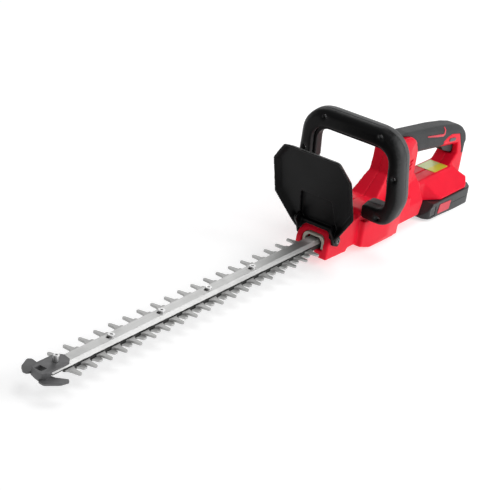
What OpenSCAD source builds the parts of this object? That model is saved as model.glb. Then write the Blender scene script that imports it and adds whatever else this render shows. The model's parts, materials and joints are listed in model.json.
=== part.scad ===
// Cordless hedge trimmer, 510 mm double-acting blades, slide-on battery.
// +X points to the blade tip, +Y to the tool's left, +Z up, floor at Z = 0.

/* [Blades] */
// Distance from one tooth to the next
pitch = 26; // [25.5:0.1:26.5]
// Long fingers on each side of the upper blade
fingers = 19; // [18:1:19]
// Thickness of one blade
blade_t = 2.6; // [2.2:0.1:2.6]
// Half-width over the finger tips
finger_y = 27.2; // [25:0.1:28]
// Half-width over the short stubs of the lower blade
stub_y = 18.6; // [17:0.1:20]
// Half-width of the blade strip under the guide bar
strip_y = 10; // [9.6:0.1:10.2]
// Travel of each blade either way from the rest place
stroke = 7; // [5:0.5:7]
// Height of the plane between the two blades
cut_z = 24; // [23.5:0.1:24.5]

/* [Guide bar] */
// Half-width of the bar at its foot
bar_y = 10.4; // [10.3:0.1:11]
// Height of the bar
bar_h = 5.2; // [4:0.1:5.5]
// Forward end of the bar
bar_front = 452; // [446:1:452]
// Distance between the bar's screws
bar_pitch = 91.7; // [90:0.1:93]

/* [Gear case] */
// Place of the crank axis along the tool
crank_x = -192; // [-193:1:-191]
// Half-width of the gear-case drum
drum_y = 36; // [35.5:0.5:38]
// Wall of the plastic shells
wall = 2.6; // [2:0.1:2.8]

/* [Handles] */
// Forward lean of the front handle, degrees
lean = 7.9; // [7:0.1:9]
// Depth of the front handle's loop along the tool
loop_d = 30; // [28:1:30]
// Forward lean of the hand guard, degrees
guard_lean = 19.6; // [19:0.1:20]
// Half-width of the hand guard
guard_y = 60; // [58:1:62]

/* [Battery] */
// Half-width of the battery
pack_y = 38; // [37:0.5:38]
// Height of the battery's top face
pack_z = 24.3; // [24:0.1:24.4]
// Rear face of the battery
pack_rear = -448; // [-450:1:-447]
// Radius of one cell
cell_r = 9; // [8.8:0.1:9]

/* [Hidden] */
$fn = 48;
gap = 0.3;
mid_x = (pack_rear + 472.8) / 2;
bolt_x = 436;
upper_z = cut_z + gap / 2;
lower_z = cut_z - gap / 2 - blade_t;
bar_z = upper_z + blade_t + gap;
first_far = 416;
first_near = 424.4;
first_stub = 406;
nose_x = -68;
nose_y = 24.4;
neck_y = 24.8;
drum_z = 48;
// Crank: throw, disc radius and the yoke window that leaves room for a full turn at any blade place
throw = stroke;
disc_r = 11;
shaft_r = 3.8;
window_x = throw + disc_r + stroke + 0.4;
window_y = throw + disc_r + 0.5;
yoke_wall = 4.6;
gear_m = 1;
crank_teeth = 54;
small_teeth = 12;
idler_teeth = 36;
pinion_teeth = 10;
idler_x = crank_x - gear_m * (crank_teeth + small_teeth) / 2;
motor_x = idler_x - gear_m * (idler_teeth + pinion_teeth) / 2;
crank_gear_z = 29.4;
idler_gear_z = 35.4;
frame_top_z = 40.3;
motor_z = 43.7;
motor_len = 56;
motor_r = 16.8;
bar_screw_x = [for (i = [0:3]) 342 - i * bar_pitch];
loop_x = -152.1;
loop_z = 50;
trigger_x = -374;
trigger_z = 98;

// ---- helpers ----
function unit(v) = v / norm(v);
// The polygon's corner b, rounded with radius r as n + 1 points
function fillet(a, b, c, r, n) = let (
    u = unit(a - b), v = unit(c - b),
    turn = acos(max(-1, min(1, u * v)))
) turn > 179 ? [b] : let (
    t = r / tan(turn / 2),
    mid = b + unit(u + v) * r / sin(turn / 2),
    from = b + u * t - mid, to = b + v * t - mid,
    a0 = atan2(from[1], from[0]),
    d = atan2(to[1], to[0]) - a0,
    sweep = d > 180 ? d - 360 : (d < -180 ? d + 360 : d)
) [for (i = [0:n]) mid + r * [cos(a0 + sweep * i / n), sin(a0 + sweep * i / n)]];
// A corner list [x, y, radius] as a plain outline; radius 0 leaves the corner sharp
function soft(p, n = 4) = let (m = len(p)) [for (i = [0:m - 1])
    let (a = p[(i + m - 1) % m], b = p[i], c = p[(i + 1) % m])
    for (q = b[2] == 0 ? [[b[0], b[1]]]
        : fillet([a[0], a[1]], [b[0], b[1]], [c[0], c[1]], b[2], n)) q];
function area(p) = let (m = len(p))
    [for (i = [0:m - 1]) let (q = p[(i + 1) % m]) p[i][0] * q[1] - q[0] * p[i][1]] * [for (i = p) 0.5];
function ccw(p) = area(p) > 0 ? p : [for (i = [len(p) - 1:-1:0]) p[i]];
// The corner list moved inwards by d
function inset(list, d) = let (p = ccw(list), m = len(p)) [for (i = [0:m - 1]) let (
    a = [p[(i + m - 1) % m][0], p[(i + m - 1) % m][1]], b = [p[i][0], p[i][1]],
    c = [p[(i + 1) % m][0], p[(i + 1) % m][1]],
    u = unit(b - a), v = unit(c - b), n1 = [-u[1], u[0]], n2 = [-v[1], v[0]],
    q = b + (n1 + n2) * d / (1 + n1 * n2)
) [q[0], q[1], max(0, p[i][2] - d)]];
// Corner lists made whole by adding their mirror image: front outlines and plan outlines
function both_plan(p) = concat(p, [for (i = [len(p) - 1:-1:0]) [p[i][0], -p[i][1], p[i][2]]]);
function both_y(p) = concat(p, [for (i = [len(p) - 1:-1:0]) [-p[i][0], p[i][1], p[i][2]]]);

module side(p, y0, y1) {
    translate([0, y1, 0]) rotate([90, 0, 0]) linear_extrude(y1 - y0) polygon(p);
}
module front(p, x0, x1) {
    translate([x0, 0, 0]) rotate([90, 0, 90]) linear_extrude(x1 - x0) polygon(p);
}
module plan(p, z0, z1) {
    translate([0, 0, z0]) linear_extrude(z1 - z0) polygon(p);
}
module both_sides() {
    children();
    mirror([0, 1, 0]) children();
}
module rod_y(x, z, y0, y1, r) {
    translate([x, y1, z]) rotate([90, 0, 0]) cylinder(h = y1 - y0, r = r);
}
module rod_z(x, y, z0, z1, r) {
    translate([x, y, z0]) cylinder(h = z1 - z0, r = r);
}
module box(lo, hi) {
    translate(lo) cube(hi - lo);
}
// Puts the middle of the tool's length over the origin
module placed() {
    translate([-mid_x, 0, 0]) children();
}
// Places children in the front handle's leaning frame: X along the depth, Z up the loop
module in_loop() {
    translate([loop_x, 0, loop_z]) rotate([0, lean, 0]) children();
}
module in_guard() {
    translate([-72, 0, 40]) rotate([0, guard_lean, 0]) children();
}

// ---- blades ----
function mirrored(p, s) = s > 0 ? p : [for (i = [len(p) - 1:-1:0]) [p[i][0], -p[i][1]]];
// Long finger with its wide foot; lead is +1 when the foot spreads rearwards
function finger(x, lead) = [
    [x + 9.5, strip_y - 1], [x + 5, strip_y + 3], [x + 3.2 + 0.6 * lead, strip_y + 7],
    [x + 2.2, finger_y - 1.6], [x + 1, finger_y - 0.3], [x - 1, finger_y - 0.3],
    [x - 2.2, finger_y - 1.6], [x - 3.4 + 0.6 * lead, strip_y + 7],
    [x - 5, strip_y + 3], [x - 9.5, strip_y - 1]];
function stub(x) = [
    [x + 9, strip_y - 1], [x + 4.6, strip_y + 3], [x + 3.2, stub_y - 0.8], [x + 2, stub_y],
    [x - 2, stub_y], [x - 3.2, stub_y - 0.8], [x - 4.6, strip_y + 3], [x - 9, strip_y - 1]];

module yoke() {
    half_x = window_x + yoke_wall;
    half_y = window_y + yoke_wall;
    translate([crank_x, 0, 0]) difference() {
        polygon(soft([[-half_x, -half_y, 9], [half_x, -half_y, 9],
            [half_x, half_y, 9], [-half_x, half_y, 9]]));
        polygon(soft([[-window_x, -window_y, 6], [window_x, -window_y, 6],
            [window_x, window_y, 6], [-window_x, window_y, 6]]));
    }
}
module blade_slots() {
    for (x = bar_screw_x) translate([x, 0]) {
        square([2 * stroke + 1, 5.9], center = true);
        for (s = [-1, 1]) translate([s * (stroke + 0.5), 0]) circle(r = 2.95);
    }
}
module upper_blade() {
    color("darkgray") placed() translate([0, 0, upper_z]) linear_extrude(blade_t) difference() {
        union() {
            yoke();
            translate([crank_x + window_x + yoke_wall - 3, -strip_y])
                square([428 - crank_x - window_x - yoke_wall + 3, 2 * strip_y]);
            for (i = [0:fingers - 1]) {
                polygon(mirrored(finger(first_far - i * pitch, -1), -1));
                polygon(finger(first_near - i * pitch, 1));
            }
        }
        blade_slots();
    }
}
module lower_blade() {
    color("gray") placed() translate([0, 0, lower_z]) linear_extrude(blade_t) difference() {
        union() {
            yoke();
            translate([crank_x + window_x + yoke_wall - 3, -strip_y])
                square([420 - crank_x - window_x - yoke_wall + 3, 2 * strip_y]);
            for (i = [0:fingers - 2], s = [-1, 1])
                polygon(mirrored(stub(first_stub - i * pitch), s));
        }
        blade_slots();
    }
}

// ---- guide bar ----
bar_rear = crank_x + 40;
module guide_bar() {
    profile = [[-bar_y, bar_z], [bar_y, bar_z], [bar_y, bar_z + 1.2],
        [bar_y - 4.2, bar_z + bar_h], [4.2 - bar_y, bar_z + bar_h], [-bar_y, bar_z + 1.2]];
    color("lightgray") placed() difference() {
        union() {
            front(profile, bar_rear, bar_front);
            box([bar_rear, -20, bar_z], [bar_rear + 48, 20, bar_z + 3.2]);
        }
        for (x = bar_screw_x) {
            box([x, -2.5, bar_z - 1], [x + 5.5, 2.5, bar_z + bar_h + 1]);
            rod_z(x + 5.5, 0, bar_z - 1, bar_z + bar_h + 1, 2.5);
            rod_z(x, 0, bar_z - 1, bar_z + bar_h + 1, 3.1);
        }
        for (x = [bar_rear + 10, bar_rear + 38], y = [-16, 16])
            rod_z(x, y, bar_z - 1, bar_z + bar_h, 2.1);
        rod_z(bolt_x, 0, bar_z - 1, bar_z + bar_h + 1, 3.05);
    }
}
module bar_screws() {
    color("silver") placed() for (x = bar_screw_x) {
        difference() {
            union() {
                rod_z(x, 0, lower_z - 5.4, bar_z + bar_h + 0.02, 2.5);
                rod_z(x, 0, bar_z + bar_h + 0.02, bar_z + bar_h + 2.4, 4.3);
            }
            translate([x, 0, bar_z + bar_h + 0.9]) cylinder(h = 4, r = 1.9, $fn = 6);
        }
    }
}
module bar_nuts() {
    color("silver") placed() for (x = bar_screw_x) difference() {
        union() {
            rod_z(x, 0, lower_z - 1.5, lower_z - gap, 6.5);
            translate([x, 0, lower_z - 5]) cylinder(h = 3.5, r = 4.6, $fn = 6);
        }
        rod_z(x, 0, lower_z - 6, lower_z, 2.52);
    }
}
module tip_guard() {
    top_z = bar_z + bar_h + 0.02;
    foot_z = lower_z + 3.6;
    color("dimgray") placed() difference() {
        union() {
            plan(soft([[418, -3, 2], [423, -11, 3], [456, -11.4, 1], [456, 11.4, 1], [427, 11.6, 2],
                [421, 7, 3]]), top_z, top_z + 2.4);
            // nose block in front of the bar and the two wings at blade height
            plan(soft([[bar_front + 1, -11.4, 1], [464, -10, 3], [468, 0, 8], [470, 9, 3],
                [464, 12, 3], [bar_front + 3, 11.4, 1]]), foot_z, top_z + 2.4);
            plan(soft([[460, -9, 2], [467, -12, 3], [468, -17, 4], [461, -25, 6], [444.5, -31.6, 3],
                [440.5, -28, 2], [443.5, -15, 3], [453, -11.6, 1], [454, 8, 1], [453, 15, 5],
                [445, 26.4, 1], [448, 30, 1.5], [459, 27.6, 8], [467, 21, 6], [473.1, 16, 4],
                [472, 8, 4], [464, 3, 4]]), foot_z, foot_z + 2.4);
        }
        box([455.5, -4.8, 0], [465, 5, 60]);
        rod_z(bolt_x, 0, bar_z - 1, 60, 3.05);
    }
}
module tip_bolt() {
    base = bar_z + bar_h + 2.44;
    color("silver") placed() difference() {
        union() {
            rod_z(bolt_x, 0, bar_z + 0.02, base, 3);
            rod_z(bolt_x, 0, base, base + 7.4, 3.6);
        }
        rod_z(bolt_x, 0, base + 3, base + 20, 1.4);
    }
}

// ---- gear case inside ----
function gear_points(teeth, m) = [for (i = [0:teeth - 1], k = [0:3]) let (
    step = 360 / teeth, r = m * teeth / 2,
    root = step * 0.30, tip = step * 0.13,
    a = i * step + (k == 0 ? -root : k == 1 ? -tip : k == 2 ? tip : root),
    rr = (k == 0 || k == 3) ? r - 1.2 * m : r + 0.75 * m
) rr * [cos(a), sin(a)]];
module gear(teeth, m, h, turn) {
    rotate([0, 0, turn]) linear_extrude(h) polygon(gear_points(teeth, m));
}
module crank_gear() {
    color("gainsboro") placed() translate([crank_x, 0, crank_gear_z]) difference() {
        gear(crank_teeth, gear_m, 5.6, 0);
        translate([0, 0, -1]) cylinder(h = 10, r = 5.5);
        for (a = [0:60:300]) rotate([0, 0, a + 30]) translate([15.5, 0, -1])
            cylinder(h = 10, r = 4.2);
    }
}
module crank_shaft() {
    color("silver") placed() translate([crank_x, 0, 0]) {
        rod_z(0, 0, 6.8, lower_z - 0.4, shaft_r);
        rod_z(throw, 0, lower_z - 0.4, cut_z, disc_r);
        rod_z(-throw, 0, cut_z, upper_z + blade_t + 0.4, disc_r);
        rod_z(0, 0, upper_z + blade_t + 0.4, crank_gear_z + 5.6, 5.5);
        rod_z(0, 0, crank_gear_z + 5.6, frame_top_z + 3, shaft_r);
    }
}
module crank_bush() {
    color("goldenrod") placed() difference() {
        rod_z(crank_x, 0, 6.2, 14, 7);
        rod_z(crank_x, 0, 3, 15, shaft_r + 0.05);
    }
}
module crank_bearing() {
    color("lightsteelblue") placed() difference() {
        rod_z(crank_x, 0, frame_top_z - 4, frame_top_z + 3, 8);
        rod_z(crank_x, 0, frame_top_z - 5, frame_top_z + 4, shaft_r + 0.05);
    }
}
module idler_gear() {
    color("gainsboro") placed() translate([idler_x, 0, 0]) difference() {
        union() {
            translate([0, 0, crank_gear_z])
                gear(small_teeth, gear_m, idler_gear_z - crank_gear_z, 180 / small_teeth);
            translate([0, 0, idler_gear_z]) gear(idler_teeth, gear_m, 4.6, 0);
        }
        translate([0, 0, 20]) cylinder(h = 40, r = 2.55);
    }
}
module idler_pin() {
    color("silver") placed() rod_z(idler_x, 0, 28.6, frame_top_z + 3, 2.5);
}
pillar = [[-170, 26.8], [-214, 26.8]];
module frame_holes(r, z0, z1) {
    for (p = pillar, s = [-1, 1]) rod_z(p[0], s * p[1], z0, z1, r);
}
module gear_frame_base() {
    color("silver") placed() difference() {
        union() {
            plan(soft(both_plan([[-234, -20, 8], [-220, -30, 5], [-168, -30, 5], [-168.5, -20, 0]])),
                6.2, 9.2);
            frame_holes(3.2, 9, frame_top_z - 0.02);
            both_sides() {
                box([-176, 12.6, 9], [-163, 20, 20.8]);
                box([-176, 12.6, 15.6], [-96, 20, 20.8]);
                box([-153, 12.6, 20.7], [-96, 20, bar_z - 0.02]);
            }
            rod_z(crank_x, 0, 9, 14, 9.4);
        }
        rod_z(crank_x, 0, 3, 20, 7.02);
        frame_holes(1.6, 18, 60);
        for (x = [bar_rear + 10, bar_rear + 38], y = [-16, 16]) rod_z(x, y, 15, 40, 1.7);
    }
}
module gear_frame_top() {
    outline = soft(both_plan([[-268, -17, 6], [-238, -20, 6], [-220, -30, 5], [-164, -29.8, 5],
        [-156, -14, 5]]));
    color("silver") placed() difference() {
        plan(outline, frame_top_z, frame_top_z + 3);
        rod_z(crank_x, 0, 30, 60, 8.02);
        rod_z(idler_x, 0, 30, 60, 2.52);
        rod_z(motor_x, 0, 30, 60, 7);
        frame_holes(1.7, 30, 60);
        frame_holes(3.1, frame_top_z + 1.1, 60);
    }
}
module gear_frame_screws() {
    color("dimgray") placed() {
        for (p = pillar, s = [-1, 1]) {
            rod_z(p[0], s * p[1], 20, frame_top_z + 1.12, 1.55);
            rod_z(p[0], s * p[1], frame_top_z + 1.12, frame_top_z + 2.9, 3);
        }
        for (x = [bar_rear + 10, bar_rear + 38], y = [-16, 16]) {
            rod_z(x, y, 16, bar_z + 3.22, 1.65);
            rod_z(x, y, bar_z + 3.22, bar_z + 5.4, 3.6);
        }
    }
}
module nose_plate() {
    color("tan") placed() difference() {
        front(soft(both_y([[-16.2, 20.5, 0], [-16.2, 37.9, 8]])), -79, -72);
        // opening that follows the bar and clears the sliding blades
        front([[-12.2, 0], [12.2, 0], [12.2, bar_z + 3], [8, bar_z + bar_h + 2.6],
            [-8, bar_z + bar_h + 2.6], [-12.2, bar_z + 3]], -100, -60);
    }
}

// ---- motor ----
module motor_can() {
    color("slategray") placed() translate([motor_x, 0, motor_z]) difference() {
        union() {
            cylinder(h = motor_len, r = motor_r);
            translate([0, 0, -0.2]) cylinder(h = 0.3, r = 6);
        }
        translate([0, 0, 2.4]) cylinder(h = motor_len - 4.8, r = motor_r - 2.2);
        translate([0, 0, -5]) cylinder(h = motor_len + 10, r = 1.65);
    }
}
// One pole of the rotor: a neck and the arc at its end
function pole() = concat([[1, -2.2], [10.6, -2.2]],
    [for (a = [-24, -36]) 11 * [cos(a), sin(a)]], [for (a = [-36:12:36]) 13.4 * [cos(a), sin(a)]],
    [for (a = [36, 24]) 11 * [cos(a), sin(a)]], [[10.6, 2.2], [1, 2.2]]);
module motor_rotor() {
    color("chocolate") placed() translate([motor_x, 0, 0]) {
        rod_z(0, 0, idler_gear_z - 0.4, motor_z + motor_len + 9, 1.6);
        translate([0, 0, motor_z + 9]) linear_extrude(motor_len - 18) {
            for (a = [0:120:240]) rotate([0, 0, a]) polygon(pole());
            circle(r = 3.4);
        }
    }
}
module motor_pinion() {
    color("silver") placed() translate([motor_x, 0, idler_gear_z]) difference() {
        gear(pinion_teeth, gear_m, 5, 180 / pinion_teeth);
        translate([0, 0, -1]) cylinder(h = 9, r = 1.61);
    }
}
module motor_fan() {
    fan_z = motor_z + motor_len + 2.5;
    color("ivory") placed() translate([motor_x, 0, fan_z]) difference() {
        union() {
            cylinder(h = 6, r = 4);
            cylinder(h = 1.2, r = 15);
            for (a = [0:40:320]) rotate([0, 0, a]) translate([3, -0.6, 0]) cube([12, 1.2, 6]);
        }
        translate([0, 0, -1]) cylinder(h = 9, r = 1.61);
    }
}

// ---- body shells ----
case_side = [[nose_x, 9, 3], [-118, 8, 2], [-121, 12.5, 2], [-141, 12.5, 1], [-143, 9.5, 1],
    [-168, 3, 10], [-236, 2.4, 0.5], [-237.5, 1, 0.5], [-242.5, 1, 1], [-243, 12.6, 1], [-268, 12.6, 1], [-268, drum_z, 1], [-84, drum_z - 3, 6],
    [-78, 43, 7], [nose_x - 1, 30, 5]];
case_plan = both_plan([[nose_x + 1, -nose_y, 3], [-142, -nose_y - 0.5, 2], [-143, -31.6, 2],
    [-168, -33.8, 14], [-205, -drum_y, 60], [-243, -30.5, 1], [-244, -30, 1], [-269, -30, 0]]);
case_front = both_y([[-drum_y - 2, 60, 0], [-drum_y - 2, 16, 10], [-31.5, 0, 4]]);
saddle_y = 24.7;
bolt_z = 57;
saddle = [[-139, 40, 2], [-139, 61, 4], [-168, 63, 8], [-190, 61, 4], [-190, 40, 2]];
neck_side = [[-104, 40, 2], [-100, 47, 3], [-183, 59, 8], [-207, 80, 8], [-217, 88, 4],
    [-222, 122, 6], [-229, 131, 7], [-266, 130.5, 6], [-279, 122, 6], [-291, 104, 8],
    [-296, 92, 6], [-296, 70, 6], [-305, 58, 4], [-306, 30, 3], [-300, 12.6, 3],
    [-240, 12.6, 2], [-236, 40, 2]];
neck_front = both_y([[-30, 10, 3], [-30, 46, 4], [-neck_y, 58, 6], [-21, 72, 8], [-20.6, 112, 8],
    [-17, 132, 6]]);
hip_front = both_y([[-30, 10, 3], [-30, 32, 6], [-17, 62, 6], [-16, 70, 0]]);
neck_plan = both_plan([[-90, -neck_y, 0], [-165, -neck_y, 4], [-196, -18, 8], [-222, -14, 8],
    [-234, -21.4, 10], [-264, -20, 20], [-290, -15.6, 8], [-300, -11, 3]]);
grip_side = [[-232, 120, 3], [-262, 110, 3], [-290, 100, 4], [-320, 96.5, 20], [-364, 91, 20],
    [-410, 85, 5], [-436, 79, 4], [-440.4, 82, 4], [-441.2, 92, 10], [-433.4, 105, 16],
    [-416, 113.4, 30], [-390, 119.3, 60], [-346, 126.3, 60], [-302, 131.3, 40],
    [-262, 136, 20], [-236, 136, 5]];
post_side = [[-410, 92, 2], [-415, 72, 5], [-398, 56, 6], [-400, 37, 2], [-434, 37, 2],
    [-440, 56, 6], [-441.5, 74, 30], [-438, 92, 2]];
bar_view = both_y([[-17, 40, 3], [-17, 76, 8], [-15.6, 86, 8], [-15.6, 112, 12], [-12, 139, 12]]);
bar_edge = 6;
rail_z = pack_z + 2.9;
// The bar's outline as seen along a 45 degree slope, which cuts its long edges
function slope(p) = [for (q = p) [q[0], (q[1] + (q[1] > 101 ? 1 : -1) * (15.6 - bar_edge)) / sqrt(2), q[2]]];
bar_plan = both_plan([[-230, -20, 0], [-420, -20, 0], [-442.5, -15, 12]]);
post_plan = both_plan([[-390, -15.6, 2], [-442.5, -15.6, 12]]);
base_side = [[-300, pack_z + gap, 2], [-446, pack_z + gap, 2], [-441, 31, 4], [-420, 45, 10],
    [-406, 56, 5], [-300, 56, 2]];
base_front = both_y([[-37.4, pack_z + 0.2, 1.5], [-33.4, 31, 6], [-20, 51, 5], [-17, 57, 3]]);
base_plan = both_plan([[-294, -20, 4], [-322, -20, 6], [-350, -37.5, 16], [-421, -37.5, 22],
    [-446, -16, 14]]);
skin = 2.2;
// Housing screws: place along and above, and depth of the seat under the head
screw_at = [[-112, 41, 18], [-252, 24, 20], [-286, 62, 11], [-288, 114, 9], [-340, 109, 9],
    [-432, 93, 8], [-425, 62, 10], [-431, 38, 18], [-309, 46, 13]];

module drum(d) {
    intersection() {
        side(soft(inset(case_side, d)), -60, 60);
        plan(soft(inset(case_plan, d)), -5, 60);
        front(soft(inset(case_front, d)), -280, -60);
    }
}
module neck(d) {
    intersection() {
        side(soft(inset(neck_side, d)), -60, 60);
        front(soft(inset(neck_front, d)), -320, -60);
        union() {
            plan(soft(inset(neck_plan, d)), 40, 200);
            front(soft(inset(hip_front, d)), -320, -236 - d);
        }
    }
    side(soft(inset(saddle, d)), d - saddle_y, saddle_y - d);
}
module bar(d) {
    intersection() {
        side(soft(inset(grip_side, d)), -60, 60);
        front(soft(inset(bar_view, d)), -480, -220);
        plan(soft(inset(bar_plan, d)), 0, 200);
        rotate([45, 0, 0]) side(soft(inset(slope(grip_side), d)), -200, 200);
        rotate([-45, 0, 0]) side(soft(inset(slope(grip_side), d)), -200, 200);
    }
    intersection() {
        side(soft(inset(post_side, d)), -60, 60);
        plan(soft(inset(post_plan, d)), 0, 200);
    }
}
module base(d) {
    intersection() {
        side(soft(inset(base_side, d)), -60, 60);
        front(soft(inset(base_front, d)), -480, -250);
        plan(soft(inset(base_plan, d)), 0, 90);
    }
}
// Where the soft sleeve wraps the bar: its top, its sides and the strip down the back
module sleeve_zone() {
    side([[-225, 90], [-262, 90], [-300, 80], [-365, 80], [-366, 100.5], [-376, 105], [-388, 107],
        [-413, 102], [-426, 77], [-428, 69], [-470, 69], [-470, 150], [-225, 150]], -60, 60);
}
module trigger_slot() {
    box([trigger_x - 46, -6.5, 69], [trigger_x + 8, 6.5, trigger_z]);
}
// T-shaped rail on the battery, grown by d for the slot in the tool's foot
module rail(d) {
    rear = -442 - 20 * sign(d);
    box([rear, -22 - d, pack_z - 0.1], [-340 + 4 * sign(d), 22 + d, rail_z]);
    box([rear, -25 - d, rail_z - d], [-340 + 4 * sign(d), 25 + d, rail_z + 2.6 + d]);
}
module terminals_hole() {
    box([-356, -13, pack_z + 3], [-338, 13, pack_z + 14]);
}
module screw_posts() {
    for (p = screw_at) rod_y(p[0], p[1], -60, 60, 3.6);
}
module screw_wells() {
    for (p = screw_at) {
        rod_y(p[0], p[1], -60, 10.2, 1.6);
        rod_y(p[0], p[1], -60, -p[2], 3.1);
    }
}
module body_shell() {
    difference() {
        union() {
            drum(0);
            neck(0);
            base(0);
            bar(skin);
            difference() {
                bar(0);
                sleeve_zone();
            }
        }
        difference() {
            union() {
                intersection() {
                    drum(wall);
                    box([-500, -60, 0], [-94, 60, 200]);
                }
                neck(wall);
                intersection() {
                    base(wall);
                    box([-460, -60, rail_z + 5.2], [-280, 60, 70]);
                }
                bar(skin + wall);
            }
            screw_posts();
            both_sides() {
                rod_y(trigger_x, trigger_z, 9.3, 20, 4.4);
                // ribs that hold the switch and the control board
                box([-396, 5.02, 103.4], [-386, 20, 109.4]);
                for (x = [-388, -334]) box([x - 1.5, 12.6, 41], [x + 1.5, 37, 44.98]);
            }
        }
        // the mouth that the blades run through, the arch under it and the motor's cooling slots
        front(soft(both_y([[-16.5, 20.2, 0], [-16.5, 38.2, 8]])), -101, -60);
        front([[-21, 0], [21, 0], [4.5, 16.8], [-4.5, 16.8]], -117, -60);
        for (i = [0:2], s = [-1, 1]) translate([-269 - i * 1.2, s * 24, 84 + i * 5.5])
            rotate([0, 12, 0]) cube([11, 20, 2.2], center = true);
        trigger_slot();
        rail(0.4);
        terminals_hole();
        screw_wells();
        rod_y(trigger_x, trigger_z, -11.1, 11.1, 1.82);
        rod_y(-152, bolt_z, -60, 60, 3.02);
        both_sides() rod_y(-83, 35, nose_y - 5, 60, 1.6);
    }
}
module body_left() {
    color("red") placed() intersection() {
        body_shell();
        box([-500, 0, -10], [0, 100, 200]);
    }
}
module body_right() {
    color("red") placed() intersection() {
        body_shell();
        box([-500, -100, -10], [0, 0, 200]);
    }
}
module housing_screws() {
    color("dimgray") placed() for (p = screw_at) difference() {
        union() {
            rod_y(p[0], p[1], -p[2], 9.8, 1.55);
            rod_y(p[0], p[1], -p[2] - 2.4, -p[2], 2.9);
        }
        rod_y(p[0], p[1], -p[2] - 5, -p[2] - 1.2, 1.3);
    }
}

// ---- rear grip ----
module grip_sleeve() {
    color("dimgray") placed() difference() {
        intersection() {
            bar(0);
            sleeve_zone();
        }
        bar(skin);
        neck(0);
        trigger_slot();
        screw_wells();
    }
}
module grip_accents() {
    color("crimson") placed() intersection() {
        difference() {
            bar(-0.6);
            bar(0);
            box([-480, -11.6, 0], [-220, 11.6, 200]);
        }
        side(soft([[-313, 118.8, 0.5], [-340, 113.4, 4], [-360, 110, 3], [-364, 112, 3],
            [-367, 124, 0.5], [-364, 124, 0.5], [-360.5, 113.6, 2], [-340, 116.6, 4],
            [-314, 120.4, 0.5]]), -60, 60);
    }
}
module side_caps() {
    color("gray") placed() intersection() {
        difference() {
            bar(-0.9);
            bar(0);
            box([-480, -8, 0], [-220, 8, 200]);
        }
        translate([-391, 60, 98.2]) rotate([90, -8, 0]) linear_extrude(120) union() {
            square([14, 5.2], center = true);
            for (s = [-1, 1]) translate([7 * s, 0]) circle(r = 2.6);
        }
    }
}
module trigger() {
    color("black") placed() difference() {
        side(soft([[trigger_x + 5, 93, 3], [trigger_x + 5, 101, 3], [trigger_x - 4, 102.5, 3],
            [trigger_x - 42, 93, 3], [trigger_x - 44, 77, 3], [trigger_x - 39, 71, 4],
            [trigger_x - 14, 79, 12], [trigger_x - 4, 88, 6]]), -6.1, 6.1);
        rod_y(trigger_x, trigger_z, -20, 20, 1.85);
    }
}
module trigger_pin() {
    color("silver") placed() rod_y(trigger_x, trigger_z, -11, 11, 1.8);
}
module rear_switch() {
    color("darkslategray") placed() {
        box([-400, -5, 102.4], [-382, 5, 110.4]);
        for (x = [-396, -387]) box([x - 1, -1.5, 110.4], [x + 1, 1.5, 112]);
    }
}
module trigger_spring() {
    color("silver") placed() for (s = [-1, 1]) translate([trigger_x, s * 7.2, trigger_z]) rotate([90, 0, 0])
        rotate_extrude() translate([2.5, 0]) circle(r = 0.6);
}

// ---- front handle: a leaning loop in two shells with a sprung switch bar inside it ----
loop_outer = [[25.3, 1.5, 3], [66, -1, 24], [81, 40, 40], [77, 88, 80], [75, 134.4, 38]];
loop_inner = [[25.3, -9, 0], [25.3, 24, 3], [58, 25, 12], [58, 112.4, 22]];
function loop_outline(o, i) = concat(o, [for (k = [len(o) - 1:-1:0]) [-o[k][0], o[k][1], o[k][2]]],
    [for (k = [len(i) - 1:-1:0]) [-i[k][0], i[k][1], i[k][2]]], i);
hollow_outer = [[30, 5, 2], [62, 3.5, 18], [77, 40, 36], [73.4, 88, 76], [71.4, 131, 34]];
loop_edge = 6.4;
hollow_inner = [[64, 124, 24], [64, 20, 10], [30, 20.5, 2]];
bar_outer = [[60.5, 116, 24], [60.5, 60, 0]];
bar_inner = [[54, 60, 0], [54, 106.6, 18]];
press = 4.5;
loop_screw = [[42.3, 125.8], [68.6, 73.8], [51, 11.4]];

// Front outline extruded from x0 towards x1 while it shrinks to k of its size about height c
module taper(p, x0, x1, k, c) {
    translate([x0, 0, c]) rotate([90, 0, 90]) mirror([0, 0, x1 > x0 ? 0 : 1])
        linear_extrude(abs(x1 - x0), scale = k) translate([0, -c]) polygon(p);
}
// Ring of the loop between two depths, with the groove that the switch bar moves in
module loop_half(x0, x1, h0, h1) {
    s = sign(x0 + x1);
    outline = soft(both_y(loop_outer), 6);
    difference() {
        union() {
            front(outline, max(x0, loop_edge - loop_d / 2), min(x1, loop_d / 2 - loop_edge));
            taper(outline, s * (loop_d / 2 - loop_edge - 0.01), s * loop_d / 2, 0.921, 67);
        }
        front(soft(both_y(loop_inner), 6), -40, 40);
        difference() {
            front(soft(loop_outline(hollow_outer, hollow_inner), 6), h0, h1);
            for (p = loop_screw, s = [-1, 1]) translate([0, s * p[0], p[1]]) rotate([0, 90, 0])
                cylinder(h = 60, r = 4.4, center = true);
        }
        front(soft(both_y([[-61.5, 54, 1], [-61.5, 121.5, 24]]), 6), -8, 8);
        for (p = loop_screw, s = [-1, 1]) translate([0, s * p[0], p[1]]) rotate([0, 90, 0])
            cylinder(h = 60, r = 1.7, center = true);
    }
}
module lug_holes() {
    rod_y(-152, bolt_z, -90, 90, 3.02);
    both_sides() rod_y(-152, bolt_z, 31, 90, 6);
}
module front_handle_shell() {
    color("black") placed() difference() {
        in_loop() difference() {
            loop_half(0, loop_d / 2, -1, loop_d / 2 - loop_edge);
            for (p = loop_screw, s = [-1, 1]) translate([loop_d / 2 - 8, s * p[0], p[1]])
                rotate([0, 90, 0]) cylinder(h = 20, r = 3.1);
        }
        lug_holes();
    }
}
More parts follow.
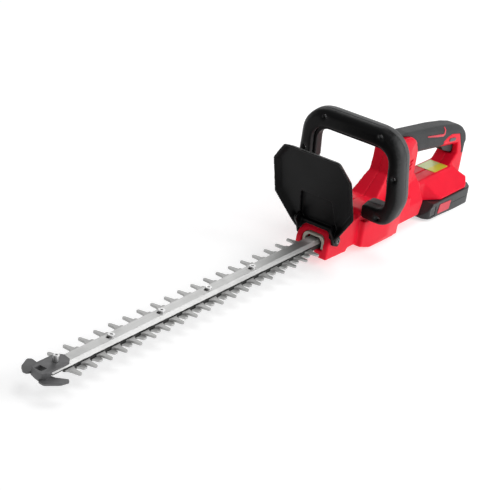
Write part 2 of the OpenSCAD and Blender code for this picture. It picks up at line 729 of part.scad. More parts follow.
module rear_handle_shell() {
    color("dimgray") placed() difference() {
        in_loop() loop_half(-loop_d / 2, -0.02, loop_edge - loop_d / 2, 1);
        lug_holes();
    }
}
module handle_screws() {
    color("silver") placed() in_loop() for (p = loop_screw, s = [-1, 1])
        translate([0, s * p[0], p[1]]) rotate([0, 90, 0]) difference() {
            union() {
                translate([0, 0, -10]) cylinder(h = loop_d / 2 + 2, r = 1.65);
                translate([0, 0, loop_d / 2 - 8]) cylinder(h = 2.4, r = 2.9);
            }
            translate([0, 0, loop_d / 2 - 6.6]) cylinder(h = 4, r = 1.4, $fn = 6);
        }
}
module handle_bolts() {
    color("silver") placed() both_sides() difference() {
        union() {
            rod_y(-152, bolt_z, 8, 31.02, 3);
            rod_y(-152, bolt_z, 31.02, 35, 5.4);
        }
        rod_y(-152, bolt_z, 32.6, 40, 2.5);
    }
}
module switch_bar() {
    color("black") placed() in_loop() front(soft(concat(bar_outer, bar_inner,
        [for (k = [1:-1:0]) [-bar_inner[k][0], bar_inner[k][1], bar_inner[k][2]]],
        [for (k = [1:-1:0]) [-bar_outer[k][0], bar_outer[k][1], bar_outer[k][2]]]), 6), -7.4, 7.4);
}
module front_switch() {
    color("darkslategray") placed() in_loop() {
        box([-5.5, -10, 124.4], [5.5, 10, 130.6]);
    }
}

// ---- hand guard ----
guard_edge = both_y([[-30, -2.5, 3], [-38, 8, 5], [-guard_y, 43, 8], [-guard_y + 1, 98, 8],
    [-41, 126, 8]]);
module hand_guard() {
    color("black") placed() difference() {
        union() {
            in_guard() {
                difference() {
                    taper(soft(guard_edge), 0, -9.6, 0.885, 66);
                    taper(soft(inset(guard_edge, 2.6)), 0.01, -7, 0.905, 66);
                    front(soft(both_y([[-27, 8.5, 2], [-23, 54, 4]])), -20, 5);
                    // arch that shows the top of the nose
                    front(soft(both_y([[-22.5, -20, 0], [-20.5, 4.4, 6]])), -20, 5);
                }
                difference() {
                    front(soft(both_y([[-29.4, 6, 2], [-25.4, 56.4, 5]])), -14.6, -7.2);
                    front(soft(both_y([[-27, 8.5, 2], [-23, 54, 4]])), -12.2, 0);
                }
            }
            both_sides() side(soft([[-93, 34, 3], [-89, 24.5, 3], [-75, 30, 3], [-69, 44, 4],
                [-59, 56, 4], [-74, 60, 4], [-84, 47, 5]]), nose_y + 0.4, nose_y + 3.6);
        }
        both_sides() rod_y(-83, 35, 0, 60, 2.1);
    }
}
module guard_screws() {
    color("silver") placed() both_sides() difference() {
        union() {
            rod_y(-83, 35, nose_y - 4.5, nose_y + 3.62, 1.55);
            rod_y(-83, 35, nose_y + 3.62, nose_y + 6, 3.7);
        }
        rod_y(-83, 35, nose_y + 4.8, 60, 1.7);
    }
}

// ---- electrics ----
module control_board() {
    color("darkgreen") placed() {
        box([-392, -15, 45], [-328, 15, 46.6]);
        for (i = [0:2]) box([-388 + i * 9, -11, 46.6], [-382 + i * 9, -1, 50.5]);
        rod_z(-340, 7, 46.6, 52, 4);
        rod_z(-352, 7, 46.6, 52, 4);
    }
}
module terminal_block() {
    color("darkslategray") placed() {
        box([-355.6, -12.6, rail_z + 5.3], [-338.4, 12.6, rail_z + 12]);
        for (y = blade_y) box([-352, y - 0.5, rail_z - 1], [-342, y + 0.5, rail_z + 5.4]);
    }
}
module rating_plate() {
    color("yellowgreen") placed() plan(soft([[-396, -14.6, 2], [-357, -14.6, 2], [-357, 14.6, 2],
        [-396, 14.6, 2]]), 56, 56.6);
}

// ---- battery ----
pack_side = [[-311, 3.5, 3], [-390, 0, 0], [-438, 0, 0], [-442, 1.2, 2], [pack_rear, 8, 5], [pack_rear, 19, 4],
    [-444, pack_z, 2], [-326, pack_z, 2], [-309, 8, 4]];
pack_plan = both_plan([[-308.5, -26, 8], [-317, -pack_y, 12], [-432, -pack_y, 16],
    [pack_rear, -23, 10]]);
pack_wall = 1.6;
blade_y = [-9, -3, 3, 9];
pack_screw_at = [[-318, 20], [-318, -20], [-436, 20], [-436, -20]];
seam_z = 12.5;
latch_x = -328;
module pack_solid(d) {
    intersection() {
        side(soft(inset(pack_side, d)), -60, 60);
        plan(soft(inset(pack_plan, d)), -5, 40);
    }
}
module pack_shell() {
    difference() {
        union() {
            pack_solid(0);
            intersection() {
                rail(0);
                plan(soft(inset(base_plan, 0.5)), 0, 60);
            }
        }
        difference() {
            pack_solid(pack_wall);
            both_sides() box([latch_x - 8.6, 26.6, 0], [latch_x + 8.6, 40, 22]);
            for (p = pack_screw_at) rod_z(p[0], p[1], -5, 40, 4.2);
        }
        for (y = blade_y) box([-355, y - 1.5, pack_z + 0.8], [-320, y + 1.5, 40]);
        both_sides() box([latch_x - 6.8, 28.4, 5.8], [latch_x + 6.8, 45, 19.2]);
        for (p = pack_screw_at) {
            rod_z(p[0], p[1], -5, 14.6, 1.6);
            rod_z(p[0], p[1], -5, 5.6, 3);
        }
    }
}
module pack_upper() {
    color("darkslategray") placed() intersection() {
        pack_shell();
        box([-460, -60, seam_z], [-300, 60, 60]);
    }
}
module pack_lower() {
    color("darkslategray") placed() intersection() {
        pack_shell();
        box([-460, -60, -5], [-300, 60, seam_z - 0.02]);
    }
}
module pack_cells() {
    color("steelblue") placed() for (i = [0:4]) rod_y(-347.4 - i * 18.2, 13.3, -32, 32, cell_r - 0.1);
}
module pack_contacts() {
    color("goldenrod") placed() for (y = blade_y)
        box([-354.6, y + 0.85, pack_z + 0.9], [-341, y + 1.45, rail_z + 2]);
}
module pack_badges() {
    color("crimson") placed() both_sides() side(soft([[-341, 6, 1.5], [-375, 5, 1.5], [-378, 18, 1.5],
        [-345, 19.5, 1.5]]), pack_y + 0.02, pack_y + 0.6);
}
module latch() {
    box([latch_x - 6.5, 31.6, 6.1], [latch_x + 6.5, 37.2, 18.9]);
    for (i = [0:2]) box([latch_x - 3.5 + i * 3, 37.2, 8], [latch_x - 2.3 + i * 3, 37.9, 17]);
}
module latch_left() {
    color("gray") placed() latch();
}
module latch_right() {
    color("gray") placed() mirror([0, 1, 0]) latch();
}
module pack_screws() {
    color("silver") placed() for (p = pack_screw_at) {
        rod_z(p[0], p[1], 5.6, 14.4, 1.55);
        rod_z(p[0], p[1], 3.6, 5.6, 2.8);
    }
}

body_left();
body_right();
housing_screws();
gear_frame_base();
gear_frame_top();
gear_frame_screws();
guide_bar();
bar_screws();
bar_nuts();
upper_blade();
lower_blade();
tip_guard();
tip_bolt();
nose_plate();
crank_shaft();
crank_gear();
crank_bush();
crank_bearing();
idler_gear();
idler_pin();
motor_pinion();
motor_can();
motor_rotor();
motor_fan();
hand_guard();
guard_screws();
front_handle_shell();
rear_handle_shell();
handle_screws();
handle_bolts();
switch_bar();
front_switch();
grip_sleeve();
grip_accents();
side_caps();
trigger();
trigger_pin();
trigger_spring();
rear_switch();
control_board();
terminal_block();
rating_plate();
pack_lower();
pack_upper();
pack_cells();
pack_contacts();
pack_badges();
latch_left();
latch_right();
pack_screws();
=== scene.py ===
"""Looks for the cordless hedge trimmer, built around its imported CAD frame.

Moulded parts are rebuilt from their CAD nodes on a fine even mesh with rounded edges, machined
parts get broken edges, and every other node is shown as it is. Lengths are metres.
"""
import bpy
import bmesh
import json
import numpy as np
from mathutils import Matrix, Vector
from mathutils.bvhtree import BVHTree

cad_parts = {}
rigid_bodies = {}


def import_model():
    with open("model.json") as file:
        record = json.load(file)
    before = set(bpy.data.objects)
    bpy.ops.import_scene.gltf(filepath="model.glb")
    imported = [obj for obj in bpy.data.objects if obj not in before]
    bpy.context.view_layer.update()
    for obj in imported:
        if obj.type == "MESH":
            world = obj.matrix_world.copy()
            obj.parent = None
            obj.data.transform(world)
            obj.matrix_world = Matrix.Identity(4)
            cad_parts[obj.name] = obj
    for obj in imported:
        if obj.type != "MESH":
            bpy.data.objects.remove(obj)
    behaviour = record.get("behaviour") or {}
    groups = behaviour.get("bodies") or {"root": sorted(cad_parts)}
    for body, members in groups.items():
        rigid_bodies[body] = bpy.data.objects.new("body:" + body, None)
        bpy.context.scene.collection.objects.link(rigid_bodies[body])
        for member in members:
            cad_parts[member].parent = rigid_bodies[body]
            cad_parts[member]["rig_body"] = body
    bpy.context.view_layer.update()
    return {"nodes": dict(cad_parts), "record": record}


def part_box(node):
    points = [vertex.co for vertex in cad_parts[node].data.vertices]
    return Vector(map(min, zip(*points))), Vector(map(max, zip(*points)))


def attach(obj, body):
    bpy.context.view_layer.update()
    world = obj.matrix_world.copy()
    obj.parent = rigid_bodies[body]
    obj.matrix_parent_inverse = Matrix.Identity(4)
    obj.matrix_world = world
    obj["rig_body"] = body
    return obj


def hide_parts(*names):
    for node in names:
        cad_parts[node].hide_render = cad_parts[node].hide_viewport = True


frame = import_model()
nodes = frame["nodes"]
scene = bpy.context.scene
slot_of = {s["node"]: s["material_slot"] for s in frame["record"]["subparts"]}
body_of = {name: ob["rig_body"] for name, ob in nodes.items()}

# The finish of a node is its slot's, apart from these.
finish_of = {
    **slot_of,
    # The rear handle shell gets a paler grey than the front: painted light, for the side the
    # lamps fall on.
    "rear_handle_shell": "painted_light_grey",
    "hand_guard": "guard_black",
    "guard_screws": "guard_black",
    "tip_guard": "phosphated",
}


# ---- camera, where the photograph was taken from ----
LENS_MM = 131.39
SENSOR_MM = 36
FAR_CLIP = 50
CAMERA_PLACE = (1.75079, 1.00548, 0.93543)
CAMERA_RIGHT = Vector((-0.56396447, 0.81312333, 0.14413372))
CAMERA_DOWN = Vector((0.26202402, 0.34171721, -0.90253685))
CAMERA_FORWARD = Vector((-0.78312674, -0.47123222, -0.4057742))

cam_data = bpy.data.cameras.new("camera")
cam_data.lens = LENS_MM
cam_data.sensor_width = SENSOR_MM
cam_data.clip_end = FAR_CLIP
cam = bpy.data.objects.new("camera", cam_data)
scene.collection.objects.link(cam)
cam.matrix_world = Matrix((CAMERA_RIGHT, -CAMERA_DOWN, -CAMERA_FORWARD)).transposed().to_4x4()
cam.location = CAMERA_PLACE
scene.camera = cam


# ---- material nodes ----
MOST = (0.3, 0.7)  # where most of a noise's values lie
NEARLY_ALL = (0.25, 0.75)  # where nearly all of them lie
MIX_FACTOR, MIX_A, MIX_B, MIX_RESULT = 0, 6, 7, 2  # the colour sockets of a mix node


class Shader:
    """A Principled material under construction, with the object's own coordinates in metres."""

    def __init__(self, name, **sockets):
        self.mat = bpy.data.materials.new(name)
        self.mat.use_nodes = True
        self.tree = self.mat.node_tree
        self.surface = self.tree.nodes["Principled BSDF"].inputs
        coords = self.node("ShaderNodeTexCoord")
        self.coord = coords.outputs["Object"]
        self.facing = coords.outputs["Normal"]
        for key, value in sockets.items():
            self.surface[key.replace("_", " ")].default_value = value

    def node(self, kind, **settings):
        made = self.tree.nodes.new(kind)
        for key, value in settings.items():
            setattr(made, key, value)
        return made

    def feed(self, socket, value):
        """Links another node's output to the socket, or sets it to a colour or a number."""
        if hasattr(value, "is_linked"):
            self.tree.links.new(value, socket)
        else:
            socket.default_value = (*value, 1) if isinstance(value, tuple) else value

    def stretched(self, x, y, z):
        """The coordinates scaled along each axis, for noise that is longer one way."""
        m = self.node("ShaderNodeMapping")
        m.inputs["Scale"].default_value = (x, y, z)
        self.feed(m.inputs["Vector"], self.coord)
        return m.outputs["Vector"]

    def noise(self, scale, detail=2.0, rough=0.5, vector=None, distortion=0.0):
        n = self.node("ShaderNodeTexNoise")
        n.inputs["Scale"].default_value = scale
        n.inputs["Detail"].default_value = detail
        n.inputs["Roughness"].default_value = rough
        n.inputs["Distortion"].default_value = distortion
        self.feed(n.inputs["Vector"], vector or self.coord)
        return n.outputs["Fac"]

    def cells(self, scale):
        n = self.node("ShaderNodeTexVoronoi")
        n.inputs["Scale"].default_value = scale
        self.feed(n.inputs["Vector"], self.coord)
        return n.outputs["Distance"]

    def spread(self, value, span, low=0, high=1):
        """Takes the values over span to low..high, and holds them there beyond it."""
        m = self.node("ShaderNodeMapRange")
        limits = (*span, low, high)
        for key, limit in zip(("From Min", "From Max", "To Min", "To Max"), limits):
            m.inputs[key].default_value = limit
        self.feed(m.inputs["Value"], value)
        return m.outputs["Result"]

    def mix(self, fac, a, b):
        m = self.node("ShaderNodeMix", data_type="RGBA")
        self.feed(m.inputs[MIX_FACTOR], fac)
        self.feed(m.inputs[MIX_A], a)
        self.feed(m.inputs[MIX_B], b)
        return m.outputs[MIX_RESULT]

    def math(self, kind, a, b=0):
        m = self.node("ShaderNodeMath", operation=kind)
        self.feed(m.inputs[0], a)
        self.feed(m.inputs[1], b)
        return m.outputs[0]

    def unsteady(self, value, scale, amount):
        """The value with a little noise added, so that a border drawn from it wanders."""
        return self.math("ADD", value, self.spread(self.noise(scale, 3), MOST, -amount, amount))

    def part(self, vector, k):
        s = self.node("ShaderNodeSeparateXYZ")
        self.feed(s.inputs[0], vector)
        return s.outputs[k]

    def axis(self, k):
        return self.part(self.coord, k)

    def edges(self, low, high):
        """1 on convex edges, 0 elsewhere."""
        g = self.node("ShaderNodeNewGeometry")
        return self.spread(g.outputs["Pointiness"], (low, high))

    def varied(self, value, base, darkest, lightest):
        """The base colour between two multiples of itself, as the value says."""
        return self.mix(self.spread(value, MOST), tint(base, darkest), tint(base, lightest))

    def colour(self, value):
        self.feed(self.surface["Base Color"], value)

    def roughness(self, value):
        self.feed(self.surface["Roughness"], value)

    def bump(self, *layers):
        """Each layer is a height, its strength and its depth."""
        last = None
        for height, strength, depth in layers:
            b = self.node("ShaderNodeBump")
            b.inputs["Strength"].default_value = strength
            b.inputs["Distance"].default_value = depth
            self.feed(b.inputs["Height"], height)
            if last:
                self.feed(b.inputs["Normal"], last)
            last = b.outputs["Normal"]
        self.feed(self.surface["Normal"], last)


def tint(colour, k):
    """The colour made k times as bright, between black and full."""
    return tuple(min(1.0, max(0.0, v * k)) for v in colour)


def moulded(name, base, rough, grain, depth, wear, vary=0.12, dust=0.3, flank=None, **sockets):
    """Injection-moulded plastic: a spark-eroded grain with its scale and depth, a tone that
    varies as the melt flowed, scuffs as strong as dust says and pale edges: rubbed wear on
    most plastics, a painted highlight on the black ones. The side tone, where given, is
    painted light: a greyer tone on the faces that look sideways, as if lit from the side."""
    s = Shader(name, **sockets)
    pale = tuple(0.55 * v + 0.45 * (0.35 + 0.3 * v) for v in base)
    tone = s.varied(s.noise(14, 3, 0.6), base, 1 - vary, 1 + vary)
    # Painted light: faces that look sideways get the paler side tone.
    if flank:
        sideways = s.unsteady(s.math("ABSOLUTE", s.part(s.facing, 1)), 300, 0.06)
        tone = s.mix(s.spread(sideways, (0.35, 0.8)), tone, flank)
    scuff = s.noise(1, 5, 0.62, s.stretched(60, 260, 120), 0.6)
    tone = s.mix(s.spread(scuff, (0.62, 0.74), 0, dust), tone, pale)
    # Convex edges made pale: rubbed wear on most plastics, a painted highlight on the black ones,
    # strongest on the guard's rims.
    patches = s.spread(s.noise(90, 4), (0.4, 0.62), 0, wear)
    s.colour(s.mix(s.math("MULTIPLY", s.edges(0.53, 0.60), patches), tone, pale))
    dull = s.spread(s.noise(38, 4, 0.6), NEARLY_ALL, rough - 0.07, rough + 0.09)
    s.roughness(s.math("ADD", dull, s.spread(scuff, (0.6, 0.8), 0, 0.12)))
    pits, waves = s.noise(grain, 3, 0.6), s.noise(22, 2)
    s.bump((pits, 0.55, depth), (waves, 0.25, 0.0002))
    return s.mat


def rubbered(name, base):
    """Soft-touch overmould: a fine pebbled skin, dull, with a little dust and paler edges."""
    s = Shader(name, Specular_IOR_Level=0.25, Sheen_Weight=0.08, Sheen_Roughness=0.6)
    dust = s.noise(70, 5, 0.65)
    tone = s.varied(s.noise(18, 3), base, 0.85, 1.2)
    tone = s.mix(s.spread(dust, (0.5, 0.75), 0, 0.22), tone, tint(base, 1.9))
    s.colour(s.mix(s.math("MULTIPLY", s.edges(0.54, 0.62), 0.4), tone, tint(base, 2.4)))
    s.roughness(s.spread(dust, NEARLY_ALL, 0.56, 0.74))
    pebbles, waves = s.cells(1250), s.noise(30, 2)
    s.bump((pebbles, 0.5, 0.00018), (waves, 0.3, 0.0003))
    return s.mat


def metal(name, base, rough, brush, wear=0.5, metallic=1.0, painted_shade_z=None, painted_shade_y=None):
    """Bare metal with grinding lines along brush, soft stains and bright rubbed edges.
    Painted shade darkens it below a given height and near the middle out to just past a
    given half-width, as the gap shadow along the foot of the bar and on the blades under it."""
    s = Shader(name, Metallic=metallic)
    lines = s.noise(1, 4, 0.7, s.stretched(*brush))
    stain = s.noise(26, 5, 0.6)
    tone = s.varied(lines, base, 0.9, 1.1)
    tone = s.mix(s.spread(stain, (0.52, 0.76), 0, 0.35), tone, tint(base, 0.72))
    tone = s.mix(s.math("MULTIPLY", s.edges(0.52, 0.6), wear), tone, tint(base, 1.35))
    # Painted shade: the bar's foot darkened, as the shadow in the gap above the blades.
    if painted_shade_z:
        height = s.unsteady(s.axis(2), 120, 0.0001)
        border = (painted_shade_z, painted_shade_z - 0.0001)
        tone = s.mix(s.spread(height, border, 0, 0.95), tone, tint(base, 0.03))
    # Painted shade: the blades darkened under the bar and just past its edges, where its shadow
    # falls.
    if painted_shade_y:
        out = s.unsteady(s.math("ABSOLUTE", s.axis(1)), 120, 0.0002)
        border = (painted_shade_y + 0.0009, painted_shade_y + 0.0004)
        tone = s.mix(s.spread(out, border, 0, 0.9), tone, tint(base, 0.05))
    s.colour(tone)
    dull = s.spread(lines, NEARLY_ALL, rough - 0.06, rough + 0.1)
    s.roughness(s.math("ADD", dull, s.spread(stain, (0.45, 0.8), 0, 0.14)))
    s.bump((lines, 0.35, 0.00005), (s.noise(420, 3), 0.15, 0.00004))
    return s.mat


PALE_GREEN = (0.52, 0.66, 0.22)
YELLOW = (0.66, 0.62, 0.02)
DARK_GREEN = (0.12, 0.16, 0.05)
CREAM = (0.85, 0.9, 0.6)


def printed_film(name, node):
    """Plain printed film on a plate: green running into yellow, a thin frame line near its
    border and faint print grain."""
    s = Shader(name, Coat_Weight=0.15, Coat_Roughness=0.2)
    lo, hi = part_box(node)
    y = s.spread(s.axis(1), (lo.y, hi.y))
    x = s.spread(s.axis(0), (lo.x, hi.x))
    across = s.math("SUBTRACT", y, s.spread(s.noise(60, 2), MOST, -0.03, 0.03))
    ground = s.mix(s.spread(across, (0.52, 0.60)), PALE_GREEN, YELLOW)
    from_middle = [s.math("ABSOLUTE", s.math("SUBTRACT", v, 0.5)) for v in (y, x)]
    out = s.math("MAXIMUM", *from_middle)
    line = s.math("MULTIPLY", s.spread(out, (0.44, 0.445)), s.spread(out, (0.462, 0.457)))
    ground = s.mix(s.math("MULTIPLY", line, 0.55), ground, DARK_GREEN)
    s.colour(s.mix(s.spread(s.noise(900, 2), (0.45, 0.7), 0, 0.1), ground, CREAM))
    s.roughness(s.spread(s.noise(80, 4), MOST, 0.34, 0.46))
    waves, fibres = s.noise(30, 2), s.noise(1500, 2)
    s.bump((waves, 0.1, 0.0001), (fibres, 0.1, 0.00003))
    return s.mat


# ---- finishes ----
PLASTICS = {
    "red_plastic": dict(
        base=(0.74, 0.005, 0.026), rough=0.36, grain=1500, depth=0.00007,
        wear=0.04, vary=0.08, dust=0.05, Specular_IOR_Level=0.12),
    # Black plastic: the side tone is painted light on the faces that look sideways, and its paled
    # edges paint a highlight along the edges.
    "black_plastic": dict(
        base=(0.0025, 0.0025, 0.0028), rough=0.42, grain=1300, depth=0.0001,
        wear=0.45, dust=0.03, flank=(0.05, 0.051, 0.052), Specular_IOR_Level=0.13),
    # Guard black: the strong edge lightening paints a highlight along the rims.
    "guard_black": dict(
        base=(0.0022, 0.0022, 0.0025), rough=0.38, grain=1500, depth=0.00007,
        wear=2.2, dust=0.02, Specular_IOR_Level=0.12),
    "charcoal_plastic": dict(
        base=(0.017, 0.018, 0.019), rough=0.38, grain=1300, depth=0.0001,
        wear=0.25, dust=0.06, Specular_IOR_Level=0.35),
    # A paler grey for the rear handle shell, painting the light that falls on that side.
    "painted_light_grey": dict(
        base=(0.072, 0.073, 0.074), rough=0.50, grain=1300, depth=0.0001,
        wear=0.2, vary=0.1, dust=0.08, Specular_IOR_Level=0.3),
    "accent_red": dict(
        base=(0.56, 0.010, 0.032), rough=0.34, grain=1600, depth=0.00005, wear=0.2),
    "grey_plastic": dict(
        base=(0.075, 0.078, 0.082), rough=0.44, grain=1300, depth=0.00008, wear=0.3),
    "liner_plastic": dict(
        base=(0.50, 0.47, 0.40), rough=0.48, grain=1200, depth=0.00008, wear=0.3),
    "white_plastic": dict(
        base=(0.74, 0.73, 0.69), rough=0.42, grain=1200, depth=0.00006, wear=0.2),
    "board": dict(
        base=(0.02, 0.12, 0.05), rough=0.30, grain=800, depth=0.00005,
        wear=0.2, Coat_Weight=0.4),
    "cell_wrap": dict(
        base=(0.04, 0.13, 0.34), rough=0.28, grain=700, depth=0.00005,
        wear=0.2, Coat_Weight=0.3),
    "motor_can_paint": dict(
        base=(0.05, 0.055, 0.062), rough=0.35, grain=1000, depth=0.00006, wear=0.4),
}

# The scale of the grinding lines on x, y and z: they run along the axis where it is small.
ALONG_X = (14, 900, 900)
ALONG_Y = (900, 30, 900)
ALONG_Z = (500, 500, 60)
AROUND_Z = (40, 40, 1600)

# How far up the bar's foot the painted gap shadow reaches.
PAINTED_SHADE_UP_THE_BAR = 0.0014
BAR_HALF_WIDTH = 0.0104  # ahead of the wider foot inside the housing
bar_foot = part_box("guide_bar")[0].z

METALS = {
    # The blades get painted shade under the bar's edges, and the bar gets it along its foot.
    "blade_steel": dict(
        base=(0.44, 0.44, 0.435), rough=0.50, brush=ALONG_Y, wear=0.7, metallic=0.8,
        painted_shade_y=BAR_HALF_WIDTH),
    "bar_steel": dict(
        base=(0.56, 0.56, 0.555), rough=0.46, brush=ALONG_X, wear=0.4, metallic=0.88,
        painted_shade_z=bar_foot + PAINTED_SHADE_UP_THE_BAR),
    "bright_steel": dict(base=(0.62, 0.62, 0.62), rough=0.30, brush=ALONG_Z),
    "dark_steel": dict(
        base=(0.03, 0.03, 0.033), rough=0.42, brush=ALONG_Z, wear=0.4, metallic=0.9),
    "phosphated": dict(
        base=(0.15, 0.15, 0.153), rough=0.50, brush=(200, 200, 200), metallic=0.9),
    "gear_steel": dict(base=(0.50, 0.49, 0.47), rough=0.36, brush=ALONG_Z, wear=0.6),
    "cast_alloy": dict(base=(0.52, 0.53, 0.54), rough=0.50, brush=(300, 300, 300), wear=0.4),
    "bronze": dict(base=(0.55, 0.34, 0.13), rough=0.45, brush=(400, 400, 400), wear=0.4),
    "winding": dict(base=(0.50, 0.18, 0.06), rough=0.38, brush=AROUND_Z, wear=0.3),
    "contact_metal": dict(base=(0.66, 0.45, 0.16), rough=0.28, brush=ALONG_X, wear=0.4),
}

mats = {
    **{name: moulded(name, **finish) for name, finish in PLASTICS.items()},
    **{name: metal(name, **finish) for name, finish in METALS.items()},
    "grip_rubber": rubbered("grip_rubber", (0.021, 0.0225, 0.024)),
    "label_film": printed_film("label_film", "rating_plate"),
}


# ---- meshes ----
SAME_POINT = 2e-6  # vertices this close are welded
FLAT_ANGLE = 0.01  # faces within this angle, in radians, are joined up
SHARP_ANGLE = 0.6  # edges that turn by more than this, in radians, are broken
PULL = 0.5  # the share of the way to its neighbours' middle that a free point moves in one round

# How near another node a shell holds its shape: almost wholly beside a node it touches, and
# wholly round a node that moves, from where it is freed little by little.
TOUCH_NEAR, TOUCH_FREEDOM = 0.0004, 0.06
MOVER_NEAR, MOVER_FAR = 0.0045, 0.0075


def gathered(*names):
    """One welded mesh of these CAD nodes, without changing them."""
    bm = bmesh.new()
    for name in names:
        bm.from_mesh(nodes[name].data)
    bmesh.ops.remove_doubles(bm, verts=bm.verts, dist=SAME_POINT)
    return bm


def as_object(name, bm):
    mesh = bpy.data.meshes.new(name)
    bm.to_mesh(mesh)
    bm.free()
    ob = bpy.data.objects.new(name, mesh)
    scene.collection.objects.link(ob)
    return ob


def applied(ob, kind, **settings):
    """Puts one modifier on the object and applies it to the object's own mesh."""
    modifier = ob.modifiers.new(kind.lower(), kind)
    for key, value in settings.items():
        setattr(modifier, key, value)
    depsgraph = bpy.context.evaluated_depsgraph_get()
    mesh = bpy.data.meshes.new_from_object(ob.evaluated_get(depsgraph), depsgraph=depsgraph)
    old = ob.data
    ob.modifiers.clear()
    ob.data = mesh
    bpy.data.meshes.remove(old)


def shaded_smooth(ob):
    ob.data.polygons.foreach_set("use_smooth", [True] * len(ob.data.polygons))
    ob.data.update()


def relaxed(mesh, rounds, mask):
    """Rounds the mesh off by moving each point towards its neighbours, as far as mask lets it."""
    n = len(mesh.vertices)
    co = np.empty(n * 3)
    mesh.vertices.foreach_get("co", co)
    co = co.reshape(-1, 3)
    ends = np.empty(len(mesh.edges) * 2, np.int64)
    mesh.edges.foreach_get("vertices", ends)
    a, b = ends[0::2], ends[1::2]
    count = np.bincount(a, minlength=n) + np.bincount(b, minlength=n)
    count = np.maximum(count, 1)[:, None]
    weight = PULL * mask[:, None]
    for _ in range(rounds):
        total = np.empty_like(co)
        for k in range(3):
            total[:, k] = np.bincount(a, co[b, k], n) + np.bincount(b, co[a, k], n)
        co += weight * (total / count - co)
    mesh.vertices.foreach_set("co", co.ravel())
    mesh.update()


def distance_mask(mesh, names, near, far, least):
    """least on the points within near of these nodes, rising to 1 at the distance far."""
    mask = np.ones(len(mesh.vertices))
    if not names:
        return mask
    bm = gathered(*names)
    tree = BVHTree.FromBMesh(bm)
    bm.free()
    for i, v in enumerate(mesh.vertices):
        d = tree.find_nearest(v.co, far)[3]
        if d is not None:
            t = min(1.0, max(0.0, (d - near) / (far - near)))
            mask[i] = least + (1 - least) * t
    return mask


def placed(ob, node):
    """Common end of every piece: finish, body, material slot and the CAD node it stands for."""
    ob.data.materials.clear()
    ob.data.materials.append(mats[finish_of[node]])
    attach(ob, body_of[node])
    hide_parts(node)


def soft_shell(name, node, voxel, rounds, keep, touching=(), movers=(), far=0.0022):
    """A moulded part: the CAD solid rebuilt on a fine even mesh, rounded off in so many rounds
    and thinned to the share keep of its faces. The walls hold their shape beside the nodes that
    they touch, less and less out to the distance far, and round the movers inside."""
    ob = as_object(name, gathered(node))
    applied(ob, "REMESH", mode="VOXEL", voxel_size=voxel)
    beside_touching = distance_mask(ob.data, touching, TOUCH_NEAR, far, TOUCH_FREEDOM)
    beside_movers = distance_mask(ob.data, movers, MOVER_NEAR, MOVER_FAR, 0)
    relaxed(ob.data, rounds, np.minimum(beside_touching, beside_movers))
    applied(ob, "DECIMATE", ratio=keep)
    shaded_smooth(ob)
    placed(ob, node)


def bevelled(name, node, width, segments=2):
    """A machined part: the CAD solid's flat faces joined up and its sharp edges broken."""
    bm = gathered(node)
    bmesh.ops.dissolve_limit(bm, angle_limit=FLAT_ANGLE, verts=bm.verts, edges=bm.edges)
    ob = as_object(name, bm)
    applied(ob, "BEVEL", width=width, segments=segments, limit_method="ANGLE",
            angle_limit=SHARP_ANGLE)
    shaded_smooth(ob)
    applied(ob, "WEIGHTED_NORMAL", keep_sharp=True)
    placed(ob, node)


# ---- pieces ----
for side, other in (("left", "right"), ("right", "left")):
    soft_shell("housing_" + side, "body_" + side, voxel=0.00095, rounds=9, keep=0.45,
               touching=["body_" + other, "grip_sleeve"])
soft_shell("rear_grip_sleeve", "grip_sleeve", voxel=0.0007, rounds=22, keep=0.5,
           touching=["body_left", "body_right"])
for end, other in (("front", "rear"), ("rear", "front")):
    soft_shell("loop_" + end, end + "_handle_shell", voxel=0.0008, rounds=80, keep=0.5,
               touching=[other + "_handle_shell", "handle_screws", "handle_bolts"],
               movers=["switch_bar"], far=0.0035)
soft_shell("loop_switch_bar", "switch_bar", voxel=0.0007, rounds=10, keep=0.6)
soft_shell("guard_dish", "hand_guard", voxel=0.0007, rounds=5, keep=0.5)
soft_shell("trigger_lever", "trigger", voxel=0.0006, rounds=10, keep=0.6)
for half, other in (("upper", "lower"), ("lower", "upper")):
    soft_shell("battery_" + half, "pack_" + half, voxel=0.0006, rounds=8, keep=0.4,
               touching=["pack_" + other], movers=["latch_left", "latch_right"])
soft_shell("grip_inlays", "grip_accents", voxel=0.00025, rounds=3, keep=0.6)
soft_shell("grip_side_caps", "side_caps", voxel=0.0003, rounds=6, keep=0.6)
soft_shell("mouth_liner", "nose_plate", voxel=0.0005, rounds=5, keep=0.6)
soft_shell("battery_badges", "pack_badges", voxel=0.0003, rounds=2, keep=0.5)
soft_shell("label_plate", "rating_plate", voxel=0.0003, rounds=1, keep=0.5)
for side in ("left", "right"):
    soft_shell("latch_button_" + side, "latch_" + side, voxel=0.0003, rounds=2, keep=0.5)

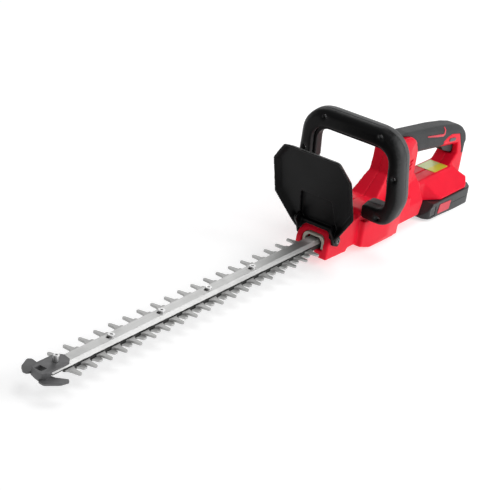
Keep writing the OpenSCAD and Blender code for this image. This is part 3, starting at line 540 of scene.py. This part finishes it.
bevelled("cutter_upper", "upper_blade", 0.00035)
bevelled("cutter_lower", "lower_blade", 0.00035)
bevelled("bar_rail", "guide_bar", 0.0004)
bevelled("bar_bolts", "bar_screws", 0.0003)
bevelled("bar_lock_nuts", "bar_nuts", 0.0003)
bevelled("tip_stud", "tip_bolt", 0.0004)
bevelled("blade_tip_guard", "tip_guard", 0.0006, segments=3)

for name, ob in nodes.items():
    if not ob.hide_render:
        ob.data.materials.clear()
        ob.data.materials.append(mats[finish_of[name]])


# ---- floor ----
FLOOR_HALF_SIZE = 40
FLOOR_CELLS = 8
FLOOR_PLACE = (-0.4, 0, -0.0002)  # just under the part, so that no two surfaces coincide

bm = bmesh.new()
bmesh.ops.create_grid(bm, x_segments=FLOOR_CELLS, y_segments=FLOOR_CELLS, size=FLOOR_HALF_SIZE)
floor = as_object("floor", bm)
floor.location = FLOOR_PLACE
paper = Shader("studio_floor", Roughness=0.9, Specular_IOR_Level=0.1,
               Emission_Color=(1, 1, 1, 1), Emission_Strength=0.55)
paper.colour(paper.mix(paper.noise(3), (0.60, 0.60, 0.605), (0.62, 0.62, 0.62)))
floor.data.materials.append(paper.mat)


# ---- light ----
WORLD_STRENGTH = 0.34
SOFT_BOXES = (
    # name, place, aim, size, watts
    ("key", (-0.5, 1.9, 1.1), (-0.1, 0, 0.05), (1.6, 1.2), 28),
    ("top", (-0.2, 0.2, 2.2), (-0.1, 0, 0.05), (1.2, 1.0), 12),
    ("back_left", (-1.7, 0.9, 1.15), (0.0, 0, 0.05), (1.0, 0.9), 6.5),
    ("back_right", (-1.9, -1.2, 1.1), (0.0, 0, 0.08), (1.6, 1.0), 9),
)

world = bpy.data.worlds.new("studio")
world.use_nodes = True
background = world.node_tree.nodes["Background"].inputs
background["Color"].default_value = (1, 1, 1, 1)
background["Strength"].default_value = WORLD_STRENGTH
scene.world = world

for name, place, aim, size, watts in SOFT_BOXES:
    data = bpy.data.lights.new(name, "AREA")
    data.shape = "RECTANGLE"
    data.size, data.size_y = size
    data.energy = watts
    light = bpy.data.objects.new(name, data)
    scene.collection.objects.link(light)
    light.location = place
    towards = Vector(aim) - Vector(place)
    light.rotation_euler = towards.to_track_quat("-Z", "Y").to_euler()
scene.view_settings.view_transform = "Standard"
